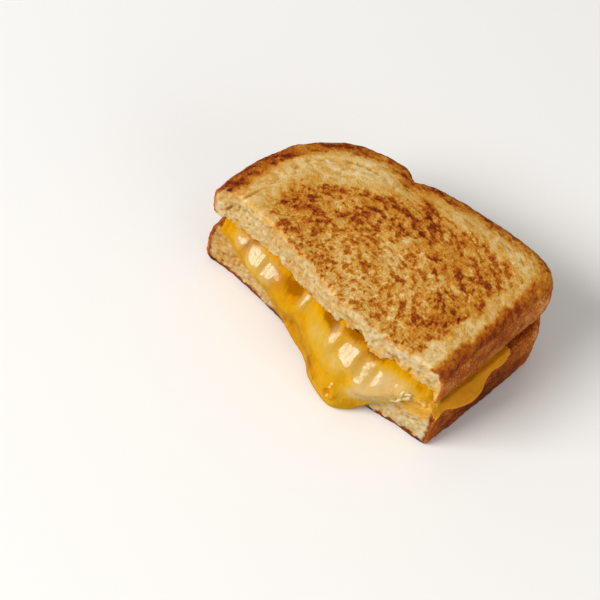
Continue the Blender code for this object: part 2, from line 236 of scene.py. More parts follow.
def friedBread():
    # White sandwich bread, fried in butter: dry and matt. The pan browns the high ridges first, so
    # the fried face is streaked; the cut shows pale crumb, and the baked crust is a fuzzy brown.
    material = bpy.data.materials.new("butterFriedWhiteBread")
    material.use_nodes = True
    tree = material.node_tree
    shader = tree.nodes["Principled BSDF"]
    place = addNode(tree, "ShaderNodeTexCoord")["Object"]
    flow = addNode(tree, "ShaderNodeAttribute", {"attribute_name": "flow"})["Vector"]
    marks = {}
    for name in ("doneness", "contrast", "cut", "crust", "tuft", "pore", "damp", "buttered"):
        marks[name] = addNode(tree, "ShaderNodeAttribute", {"attribute_name": name})["Fac"]
    patterns = {}
    for name, (size, detail, roughness) in breadLooks["patterns"].items():
        patterns[name] = addNode(tree, "ShaderNodeTexNoise", {}, {
            "Vector": place, "Scale": 1 / (size * mm), "Detail": detail, "Roughness": roughness,
        })["Fac"]
    clumps, crumbly, grain = patterns["clumps"], patterns["crumbly"], patterns["grain"]

    # streaks that wander a little, over soft clumps and fine grain
    apart, push = breadLooks["wander"]
    waves = addNode(tree, "ShaderNodeTexNoise", {}, {
        "Vector": place, "Scale": 1 / (apart * mm), "Detail": 2.0,
    })
    pushed = addNode(tree, "ShaderNodeVectorMath", {"operation": "MULTIPLY_ADD"}, {
        0: waves["Color"], 1: [reach * mm for reach in push], 2: flow,
    })[0]
    length, width = breadLooks["streak"]
    along = addNode(tree, "ShaderNodeVectorMath", {"operation": "MULTIPLY"}, {
        0: pushed, 1: perSize(length, width, width),
    })[0]
    streaks = addNode(tree, "ShaderNodeTexNoise", {}, {
        "Vector": along, "Scale": 1.0, "Detail": 3.0, "Roughness": 0.5,
    })["Fac"]
    broken = addUp(tree, -0.35, [(streaks, 1.0), (crumbly, 0.7)])
    dashes = addNode(tree, "ShaderNodeMapRange", {"interpolation_type": "SMOOTHSTEP"}, {
        "Value": broken, "From Min": 0.43, "From Max": 0.68,
    })[0]
    size, detail, roughness = breadLooks["hollows"]
    sunken = addNode(tree, "ShaderNodeTexNoise", {}, {
        "Vector": pushed, "Scale": 1 / (size * mm), "Detail": detail, "Roughness": roughness,
    })["Fac"]
    hollows = addNode(tree, "ShaderNodeMapRange", {"interpolation_type": "SMOOTHSTEP"}, {
        "Value": sunken, "From Min": 0.55, "From Max": 0.70,
    })[0]
    pattern = addUp(tree, -0.92, [
        (dashes, 0.32), (hollows, -0.20), (crumbly, 0.5), (clumps, 0.4), (grain, 0.65),
    ])
    done = addUp(tree, marks["doneness"], [(pattern, marks["contrast"])])
    fried = addNode(tree, "ShaderNodeValToRGB", {"stops": breadLooks["fried"]}, {"Fac": done})["Color"]

    # cut crumb: painted shade darkens the pores and the creases between the tufts, and the tone is shifted
    # along the cut as listed
    crumbTone = addUp(tree, -0.20, [
        (marks["tuft"], -1.7), (marks["pore"], 0.3), (clumps, 0.8), (crumbly, 0.3), (marks["damp"], 1.0),
    ])
    crumb = addNode(tree, "ShaderNodeValToRGB", {"stops": breadLooks["crumb"]}, {"Fac": crumbTone})["Color"]
    crumb = paintOver(tree, crumb, [(marks["buttered"], srgb(breadLooks["buttered"]))])

    # baked crust: mid brown with pale flour-like fuzz and a few scorched spots
    crustTone = addUp(tree, marks["doneness"], [
        (patterns["fuzz"], -1.7), (patterns["scorch"], 1.1), (grain, 0.6),
    ])
    crust = addNode(tree, "ShaderNodeValToRGB", {"stops": breadLooks["crust"]}, {"Fac": crustTone})["Color"]
    colour = paintOver(tree, fried, [(marks["cut"], crumb), (marks["crust"], crust)])
    tree.links.new(colour, shader.inputs["Base Color"])

    # the browner the fried face, the more butter it holds and the less matt it is
    gloss = addNode(tree, "ShaderNodeMapRange", {}, {
        "Value": done, "From Min": 0.2, "From Max": 0.9, "To Min": 0.8, "To Max": 0.48,
    })[0]
    tree.links.new(gloss, shader.inputs["Roughness"])
    shader.inputs["IOR"].default_value = 1.45
    shader.inputs["Specular IOR Level"].default_value = 0.16
    shader.inputs["Subsurface Weight"].default_value = 0.25
    shader.inputs["Subsurface Radius"].default_value = (1.0, 0.65, 0.4)
    shader.inputs["Subsurface Scale"].default_value = 0.8 * mm
    bumps = addNode(tree, "ShaderNodeBump", {}, {
        "Height": addUp(tree, pattern, [(patterns["crumbs"], 0.7)]),
        "Distance": breadLooks["grainDepth"] * mm,
        "Strength": addUp(tree, 0.8, [(marks["cut"], -0.62)]),
    })[0]
    tree.links.new(bumps, shader.inputs["Normal"])
    return material


# hollows between the crumb's torn edge and the sheet, which the cheese's material also darkens with painted
# shade: x, height, half width, half height, depth
caves = [
    (-37.5, 30.2, 2.6, 1.0, 1.4), (-13.2, 28.6, 3.0, 1.2, 1.0), (5.8, 31.8, 3.4, 1.4, 2.0),
    (17.6, 34.4, 3.8, 1.6, 2.4), (25.6, 31.6, 2.8, 1.3, 2.0), (34.5, 35.6, 3.0, 1.3, 2.2),
    (44.5, 30.0, 2.2, 2.0, 0.6),
]

# The fried area of a slice, as an outline in millimetres. Outside it the bread stood clear of the pan.
# A ring row gives, by angle round the slice (0 base, 90 side wall, 180 crown), how well done the pale
# ring is; a rim row gives the brown rim's width, doneness and contrast; a patch is x, y, radius and
# amount. Heat is how well done the fried area is; edge fade is how far in the cut starts below it.
topSlice = {
    "voxel": 0.47,
    "passes": 4,
    "seed": 0.0,
    "fried": [
        (-37, -15), (-38, -8), (-38, -2), (-31.5, 3.5), (-24.3, 9), (-14.6, 14.7), (-7.6, 20.7),
        (-1, 26), (7, 25.5), (18, 27), (35, 26), (41, 24), (43, 17), (42.3, -1.6), (41, -16), (39, -25),
        (38, -40), (-12, -40), (-17, -28), (-28, -25), (-36, -21),
    ],
    "ring": [
        (0, 0.10), (28, 0.20), (36, 0.24), (55, 0.22), (72, 0.25), (90, 0.27), (105, 0.23), (120, 0.22),
        (180, 0.24),
    ],
    "rim": [
        (0, 3.9, 0.78, 0.4), (40, 3.9, 0.74, 0.5), (52, 4.0, 0.60, 0.7), (75, 5.6, 0.64, 0.8),
        (95, 5.6, 0.72, 0.8), (110, 5.4, 0.76, 0.8), (130, 6.6, 0.75, 0.75), (160, 7.4, 0.78, 0.75),
        (180, 6.6, 0.80, 0.7),
    ],
    "edgeFade": 0.9,
    "heat": 0.51,
    "patches": [
        (8, -13, 18, -0.10), (-27, -5, 10, 0.10), (-33, -2, 6, 0.05), (-12, 11, 11, 0.12),
        (6, 18, 10, 0.12), (27, 12, 11, 0.18), (36, -4, 8, 0.20), (42, -5, 4, 0.14), (33, -18, 8, 0.12),
        (-22, -12, 10, 0.04),
    ],
    # the crumb's torn lower edge on the cut, above which it is clean: x, height; below it is set back
    "tornEdge": [
        (-58, 27), (-48.8, 29.7), (-40.8, 28.8), (-37, 30.3), (-33.2, 30.4), (-25.8, 31.5),
        (-21.3, 29.5), (-16.4, 29), (-10, 29.8), (-4.2, 30), (2, 31.6), (4, 32.6), (7, 33.6),
        (9.6, 34.6), (13, 35), (15, 36.5), (17, 37.5), (20.1, 38.1), (22, 36), (23.9, 33.5), (26, 32.5),
        (28, 32.8), (30, 34.5), (33, 35.5), (35.5, 36), (37, 34), (39.8, 34.5), (42.1, 33.3),
        (46.8, 33), (48.5, 31.4), (52.9, 27.4), (58, 26),
    ],
    "setBack": 1.4,
    "crustBorder": 0.0,  # how far the baked crust reaches onto the cut
    # how much darker the crumb is along the cut: x, amount
    "damp": [(-50, -0.04), (0, -0.03), (40, -0.13)],
    # clefts in the cut face, cut in and darkened with painted shade: x, height, half length, half width,
    # direction in degrees, depth
    "clefts": [
        (33.0, 38.0, 3.4, 0.6, -18, 1.8), (39.6, 36.5, 1.8, 0.5, 75, 1.2), (-51, 36, 2.4, 0.5, 60, 1.2),
        (-47, 39, 2.2, 0.4, 80, 1.0), (-44, 40, 1.6, 0.4, 70, 0.9), (-41, 36, 1.4, 0.4, 60, 0.8),
        (-30, 38, 1.6, 0.4, 100, 0.7), (-20, 36, 1.4, 0.4, 70, 0.7), (12, 39.5, 1.6, 0.4, 110, 0.7),
        (43, 38, 1.6, 0.4, 100, 0.8),
    ],
    "edgeHeat": 0.0,  # how much the outer face darkens towards the cut
    # where melted cheese has soaked into the cut: x, height, half width, half height, amount
    "stains": [
        (27, 34.5, 4, 2.0, 0.7), (36, 36.5, 4, 2.2, 0.7), (43, 34, 4, 3, 0.9), (12, 36, 3, 1.5, 0.5),
        (50, 31, 3, 4, 0.7),
    ],
    # where the outline stands out a little more: x, y, radius, amount
    "swells": [(51, 34, 8, 1.6), (-16, 31, 6, 0.8)],
    # paler and darker places on the side crust: x, y, z, radius, amount
    "crustSpots": [
        (56, 30, 34, 14, -0.2), (56, 6, 38, 5, 0.2), (57, 16, 37, 3, 0.25), (56, -8, 36, 5, 0.12),
        (54, -25, 30, 5, -0.1),
    ],
    # slits and open cells in the pale ring, cut in and darkened with painted shade: x, y, half length, half
    # width, direction in degrees, depth
    "slits": [
        (40, 31.5, 1.8, 0.8, -35, 0.9), (25.5, 26.5, 1.0, 0.7, -20, 0.8), (33, 32, 1.6, 0.35, -25, 0.6),
        (43.6, 20.3, 1.5, 0.45, -70, 0.7), (40.5, 24, 1.0, 0.7, -40, 0.6),
        (43, 14, 1.1, 0.35, -80, 0.5), (44.5, 12.5, 0.9, 0.3, -80, 0.5), (45, 25, 1.2, 0.35, -60, 0.5),
        (37, 27.5, 1.2, 0.4, -30, 0.5), (-36.4, 14, 1.8, 0.9, 40, 0.8),
        (-39.5, 10.9, 1.6, 0.7, 50, 0.7), (-32, 17.8, 1.8, 0.8, 30, 0.8),
        (-28.9, 19.6, 1.6, 0.9, 25, 0.8), (-25, 20.9, 1.4, 0.8, 15, 0.7), (-43, 0.9, 1.6, 0.7, 75, 0.6),
        (-42.6, 6.5, 1.5, 0.7, 65, 0.6), (-22, 21.5, 1.2, 0.6, 5, 0.6), (-33, 23, 1.6, 0.8, 35, 0.8),
        (-45.5, -20, 5.5, 0.5, 80, 0.9), (-47, -12, 3.0, 0.3, 85, 0.4), (-44, -9, 3.5, 0.3, 85, 0.4),
    ],
}

underSlice = {
    "voxel": 0.5,
    "passes": 4,
    "seed": 20.0,
    "fried": [
        (-44, -15), (-44, -2), (-36, 5), (-27, 12), (-17, 18), (-5, 25), (7, 29), (18, 30), (35, 29),
        (43, 26), (46, 17), (47, -1.6), (46, -16), (45, -25), (45, -40), (-44, -40),
    ],
    "ring": [(0, 0.3), (90, 0.34), (180, 0.3)],
    "rim": [(0, 3.0, 0.9, 0.6), (90, 3.0, 0.85, 0.6), (180, 3.4, 0.85, 0.6)],
    "edgeFade": 2.7,
    "heat": 0.56,
    "patches": [(4, -6, 18, -0.1), (-26, -5, 9, 0.1), (28, 10, 10, 0.12)],
    "tornEdge": [(-60, 30), (60, 30)],
    "setBack": 0.0,
    "crustBorder": 0.5,
    "damp": [(-50, 0.06), (-20, 0.04), (40, -0.15)],
    "clefts": [(46, 10, 3.0, 0.5, 30, 1.0), (-44, 12, 2.4, 0.5, 40, 0.9)],
    "edgeHeat": 0.5,
    "stains": [
        (43, 19, 6, 4.5, 1.2), (50, 18, 3, 5, 1.1), (34, 13, 4, 2.5, 0.8), (-30, 10, 9, 1.6, 0.3),
    ],
    "swells": [],
    "crustSpots": [
        (56, 30, 14, 16, -0.14), (57, -12, 6, 15, 0.26), (57, 6, 6, 15, 0.3), (56, 20, 6, 12, 0.2),
    ],
    "slits": [],
}


def insideOutline(outline, x, y):
    # distance to a closed outline, above zero inside it
    nearest = np.full(len(x), np.inf)
    inside = np.zeros(len(x), bool)
    for (ax, ay), (bx, by) in zip(outline, outline[1:] + outline[:1]):
        ex, ey = bx - ax, by - ay
        t = np.clip(((x - ax) * ex + (y - ay) * ey) / (ex * ex + ey * ey), 0.0, 1.0)
        nearest = np.minimum(nearest, np.hypot(x - ax - t * ex, y - ay - t * ey))
        crosses = (ay > y) != (by > y)
        inside ^= crosses & (x < ax + (y - ay) * ex / (ey if ey else 1e-9))
    return np.where(inside, nearest, -nearest)


def slitDepth(slits, east, north):
    depth = np.zeros(len(east))
    for x, y, halfLength, halfWidth, direction, amount in slits:
        turn = math.radians(direction)
        u = ((east - x) * math.cos(turn) + (north - y) * math.sin(turn)) / halfLength
        v = ((north - y) * math.cos(turn) - (east - x) * math.sin(turn)) / halfWidth
        depth = np.maximum(depth, amount * np.exp(-(u * u + v * v) ** 1.5))
    return depth


# the fine relief of both slices, in millimetres
breadTexture = {
    "inputs": {
        "Pore Size": 1.9, "Pore Depth": 0.55, "Tear Size": 3.4, "Tear Depth": 3.0,
        "Wrinkle Size": 2.0, "Wrinkle Depth": 0.45, "Ridge Depth": 0.55, "Fibre Depth": 0.45,
    },
    "poreBend": (2.5, 1.4),  # how far apart and how far the pores are pushed about
    "poreFlatness": 1.4,
    "ridge": (3.4, 1.4),  # length and width
    "fibre": (9.0, 1.3),
}


def breadRelief(material):
    # Geometry Nodes: open cells and tears in the cut, wrinkles in the crust, fibres in the pale ring
    tree = bpy.data.node_groups.new("breadRelief", "GeometryNodeTree")
    tree.interface.new_socket("Geometry", in_out="INPUT", socket_type="NodeSocketGeometry")
    for name, default in breadTexture["inputs"].items():
        socket = tree.interface.new_socket(name, in_out="INPUT", socket_type="NodeSocketFloat")
        socket.default_value = default * mm
    tree.interface.new_socket("Geometry", in_out="OUTPUT", socket_type="NodeSocketGeometry")
    size = addNode(tree, "NodeGroupInput")
    place = addNode(tree, "GeometryNodeInputPosition")[0]
    outward = addNode(tree, "GeometryNodeInputNormal")[0]
    marks = {}
    for name in ("cut", "crust", "ring", "friedArea", "slit", "flow"):
        kind = "FLOAT_VECTOR" if name == "flow" else "FLOAT"
        marks[name] = addNode(tree, "GeometryNodeInputNamedAttribute", {"data_type": kind}, {"Name": name})[0]
    scales = {}
    for name in ("Pore Size", "Tear Size", "Wrinkle Size"):
        scales[name] = addNode(tree, "ShaderNodeMath", {"operation": "DIVIDE"}, {0: 1.0, 1: size[name]})[0]

    # some of the Voronoi cells are open
    apart, push = breadTexture["poreBend"]
    bend = addNode(tree, "ShaderNodeTexNoise", {}, {
        "Vector": place, "Scale": 1 / (apart * mm), "Detail": 2.0,
    })
    bent = addNode(tree, "ShaderNodeVectorMath", {"operation": "MULTIPLY_ADD"}, {
        0: bend["Color"], 1: [push * mm] * 3, 2: place,
    })[0]
    flattened = addNode(tree, "ShaderNodeVectorMath", {"operation": "MULTIPLY"}, {
        0: bent, 1: (1.0, 1.0, breadTexture["poreFlatness"]),
    })[0]
    cells = addNode(tree, "ShaderNodeTexVoronoi", {}, {"Vector": flattened, "Scale": scales["Pore Size"]})
    pores = addNode(tree, "ShaderNodeMapRange", {"interpolation_type": "SMOOTHSTEP"}, {
        "Value": cells["Distance"], "From Min": 0.1, "From Max": 0.6, "To Min": 1.0, "To Max": 0.0,
    })[0]
    lot = addNode(tree, "ShaderNodeSeparateXYZ", {}, {0: cells["Color"]})[0]
    openCells = addNode(tree, "ShaderNodeMapRange", {}, {"Value": lot, "From Min": 0.3, "From Max": 0.9})[0]
    for factor in (openCells, marks["cut"]):
        pores = addNode(tree, "ShaderNodeMath", {"operation": "MULTIPLY"}, {0: pores, 1: factor})[0]

    # unevenness about zero, in the crumb, the crust, the fried streaks and the ring's fibres
    streaks = {}
    for name in ("ridge", "fibre"):
        length, width = breadTexture[name]
        streaks[name] = addNode(tree, "ShaderNodeVectorMath", {"operation": "MULTIPLY"}, {
            0: marks["flow"], 1: perSize(length, width, width),
        })[0]
    uneven = {}
    for name, vector, scale, detail in (
        ("billow", place, scales["Tear Size"], 2.0), ("rough", place, scales["Pore Size"], 3.0),
        ("wrinkle", place, scales["Wrinkle Size"], 4.0), ("ridge", streaks["ridge"], 1.0, 3.0),
        ("fibre", streaks["fibre"], 1.0, 3.0),
    ):
        found = addNode(tree, "ShaderNodeTexNoise", {}, {
            "Vector": vector, "Scale": scale, "Detail": detail, "Roughness": 0.62,
        })["Fac"]
        uneven[name] = addNode(tree, "ShaderNodeMath", {"operation": "SUBTRACT"}, {0: found, 1: 0.5})[0]

    # puffy lumps with creases between them, roughened a little
    tuft = addNode(tree, "ShaderNodeMath", {"operation": "ABSOLUTE"}, {0: uneven["billow"]})[0]
    tuft = addUp(tree, tuft, [(uneven["rough"], 0.38)])
    tuft = addNode(tree, "ShaderNodeMath", {"operation": "SUBTRACT"}, {0: tuft, 1: 0.09})[0]

    height = 0.0
    for shape, where, depth in (
        (tuft, marks["cut"], "Tear Depth"), (pores, -1.0, "Pore Depth"),
        (uneven["wrinkle"], marks["crust"], "Wrinkle Depth"),
        (uneven["ridge"], marks["friedArea"], "Ridge Depth"), (uneven["fibre"], marks["ring"], "Fibre Depth"),
    ):
        shape = addNode(tree, "ShaderNodeMath", {"operation": "MULTIPLY"}, {0: shape, 1: where})[0]
        height = addUp(tree, height, [(shape, size[depth])])
    move = addNode(tree, "ShaderNodeVectorMath", {"operation": "SCALE"}, {0: outward, "Scale": height})[0]
    surface = addNode(tree, "GeometryNodeSetPosition", {}, {"Geometry": size["Geometry"], "Offset": move})[0]
    # the open cells, slits and clefts and the tufts' height are kept for the material, which paints shade
    # into the pores and creases
    opened = addNode(tree, "ShaderNodeMath", {"operation": "MAXIMUM"}, {0: pores, 1: marks["slit"]})[0]
    for name, value in (("pore", opened), ("tuft", tuft)):
        surface = addNode(tree, "GeometryNodeStoreNamedAttribute", {"data_type": "FLOAT"}, {
            "Geometry": surface, "Name": name, "Value": value,
        })[0]
    surface = addNode(tree, "GeometryNodeRealizeInstances", {}, {"Geometry": surface})[0]
    surface = addNode(tree, "GeometryNodeSetMaterial", {}, {"Geometry": surface, "Material": material})[0]
    addNode(tree, "NodeGroupOutput", {}, {"Geometry": surface})
    return tree


breadSkin = {
    # where one skin of a slice fades into the next: distances in millimetres, from nothing to full
    "edges": {
        "outerFace": (2.2, 1.2),
        "cut": (1.7, 0.7),
        "cutOffCrust": (0.8, 2.2),
        "cutOffOuterFace": (-0.5, 0.5),
        "crust": (1.4, 0.7),
        "crustOffOuterFace": (0.5, 1.5),
        "crustOnInnerFace": (1.6, 0.8),
        "innerFaceCrustWidth": (9.0, 6.0),
        "fried": (-1.3, 1.3),
        "rim": (1.8, -1.4),
        "edgeHeat": (3.0, 0.5),
        "underTear": (0.4, -0.4),
        "butteredEdge": (2.5, 0.0),
    },
    # unevenness: size in millimetres, seed and octaves
    "noise": {
        "wobble": (6.0, 1.0, 3), "fine": (2.2, 2.0, 3), "heat": (12.0, 4.0, 2),
        "tear": (5.0, 6.0, 3), "lumps": (10.0, 2.0, 2), "crumb": (5.0, 5.0, 3),
    },
    # a CAD face is on the cut if it faces the knife this squarely and lies this near it
    "cutFacing": -0.5,
    "cutReach": 4.0,
    # how well done, as shares of the darkest
    "paleContrast": 0.42,
    "heatUneven": 0.10,
    "ringAtFried": 0.10,
    "ringAtRim": 0.12,
    "ringUneven": 0.05,
    # painted shade in the slits, as a share of the darkest
    "slitShade": 0.25,
    "crustDone": 0.5,
    # butter and cheese soaked into the cut
    "innerButter": 0.3,
    "mostStain": 0.9,
    "stainUneven": 1.2,
    # heights in millimetres
    "tearRagged": 2.4,
    "lumpHeight": 0.35,
    "fineHeight": 0.2,
    "crumbHeight": 0.8,
    # the middle that angles round a slice are taken from, and the one its streaks run round
    "roundMiddle": (-2.0, -29.0),
    "streakMiddle": (0.0, -34.0),
    "streakRadius": 45.0,
}


def markBread(piece, nodeName, settings, facingUp):
    # works out, for each vertex, which skin of the slice it lies on and how well done it is there
    mesh = piece.data
    points = places(mesh)
    x, y, z = points.T
    up = 1.0 if facingUp else -1.0
    skin = breadSkin

    def isCut(normal, centre):
        return normal.y < skin["cutFacing"] and centre.y < cutLine(centre.x) + skin["cutReach"]

    def uneven(name):
        size, seed, octaves = skin["noise"][name]
        return roughness3d(points, size, settings["seed"] + seed, octaves)

    def within(name, distance):
        return smoothStep(*skin["edges"][name], distance)

    toCut, toCrust, toOuter, toInner = (distanceTo(facesOf(nodeName, test), points) for test in (
        isCut,
        lambda normal, centre: abs(normal.z) < 0.5 and not isCut(normal, centre),
        lambda normal, centre: normal.z * up > 0.6 and not isCut(normal, centre),
        lambda normal, centre: normal.z * up < -0.6,
    ))

    wobble = uneven("wobble")
    fine = uneven("fine")
    onOuter = within("outerFace", toOuter)
    onCut = within("cut", toCut + 0.5 * fine)
    onCut *= within("cutOffCrust", toCrust + 0.7 * fine - settings["crustBorder"])
    onCut *= within("cutOffOuterFace", toOuter + 1.2 * fine + wobble - settings["edgeFade"])
    sideCrust = within("crust", toCrust) * within("crustOffOuterFace", toOuter)
    # the crust turns in over the edge of the inner face
    turnedIn = within("crustOnInnerFace", toInner) * within("innerFaceCrustWidth", toCrust)
    sideCrust = np.maximum(sideCrust, turnedIn) * (1.0 - onCut)

    middle = skin["roundMiddle"]
    angle = np.degrees(np.arctan2(np.maximum(y - middle[1], 0.0), x - middle[0]))
    rimWidth, rimDone, rimContrast = (readAlong(settings["rim"], column, angle) for column in (1, 2, 3))
    inFried = insideOutline(settings["fried"], x, y)
    ragged = 1.6 * wobble + 0.8 * fine
    friedArea = within("fried", inFried + ragged) * onOuter
    inRim = within("rim", toCrust - rimWidth + ragged) * onOuter

    # how well done: the fried area, the pale ring round it, its brown rim and the side crust
    heat = np.full(len(points), settings["heat"])
    for px, py, radius, amount in settings["patches"]:
        heat += amount * mound(np.hypot(x - px, y - py) / radius)
    heat += skin["heatUneven"] * uneven("heat")
    ringDone = readAlong(settings["ring"], 1, angle) + skin["ringAtFried"] * mound((inFried + 1.0) / 3.0)
    ringDone += skin["ringUneven"] * wobble + skin["ringAtRim"] * mound((toCrust - rimWidth) / 2.2)
    slit = slitDepth(settings["slits"], x, y) * onOuter
    doneness = ringDone + (heat - ringDone) * friedArea
    # painted shade: the slits are coloured darker as well as cut in
    doneness += (rimDone - doneness) * inRim + skin["slitShade"] * slit
    doneness += settings["edgeHeat"] * within("edgeHeat", toCut)
    crustDone = np.full(len(points), skin["crustDone"])
    for px, py, pz, radius, amount in settings["crustSpots"]:
        crustDone += amount * mound(np.sqrt((x - px) ** 2 + (y - py) ** 2 + (z - pz) ** 2) / radius)
    doneness += (crustDone - doneness) * sideCrust
    contrast = skin["paleContrast"] + (1.0 - skin["paleContrast"]) * friedArea
    contrast += (rimContrast - contrast) * inRim

    # below the torn edge the crumb is set back and soaked, and cheese has stained it in places
    torn = readAlong(settings["tornEdge"], 1, x) + skin["tearRagged"] * uneven("tear") + 0.5 * fine
    under = within("underTear", up * (z - torn)) * onCut * (settings["setBack"] > 0.0)
    buttered = skin["innerButter"] * within("butteredEdge", toInner + 1.5 * wobble) * onCut
    stained = spots(settings["stains"], x, z) * (1.0 + skin["stainUneven"] * wobble)
    stained = np.clip(stained, 0.0, skin["mostStain"]) * onCut
    cleft = slitDepth(settings["clefts"], x, z) * onCut
    storeValues(
        mesh,
        doneness=doneness,
        contrast=contrast,
        cut=onCut,
        crust=sideCrust,
        ring=onOuter * (1.0 - friedArea) * (1.0 - inRim),
        friedArea=np.maximum(friedArea, inRim),
        slit=np.maximum(slit, cleft),
        buttered=np.maximum(np.maximum(buttered, under), stained),
        damp=readAlong(settings["damp"], 1, x),
    )
    east, north = x - skin["streakMiddle"][0], y - skin["streakMiddle"][1]
    around = np.arctan2(north, east) * skin["streakRadius"]
    flow = np.stack([around, np.hypot(east, north), 0.0 * x], axis=1) * mm
    layer = mesh.attributes.new("flow", "FLOAT_VECTOR", "POINT")
    layer.data.foreach_set("vector", flow.astype(np.float32).ravel())

    outward = directions(mesh)
    crusty = 0.4 + 0.6 * np.maximum(sideCrust, inRim)
    height = skin["lumpHeight"] * uneven("lumps") + skin["fineHeight"] * crusty * fine
    height += skin["crumbHeight"] * onCut * uneven("crumb") - slit - cleft
    for px, py, radius, amount in settings["swells"]:
        onSide = 1.0 - smoothStep(0.6, 0.95, outward[:, 2])
        height += amount * mound(np.hypot(x - px, y - py) / radius) * onSide
    points = points + outward * height[:, None]
    points[:, 1] += under * (settings["setBack"] + spots(caves, x, z))
    placeVertices(mesh, points)


def makeSlice(nodeName, pieceName, settings, facingUp, relief):
    piece = softCopy(nodeName, pieceName, settings["voxel"], settings["passes"])
    markBread(piece, nodeName, settings, facingUp)
    modifier = piece.modifiers.new("relief", "NODES")
    modifier.node_group = relief
    bakeModifiers(piece)
    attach(piece, "root")
    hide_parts(nodeName)
    print(pieceName, len(piece.data.polygons), "faces")


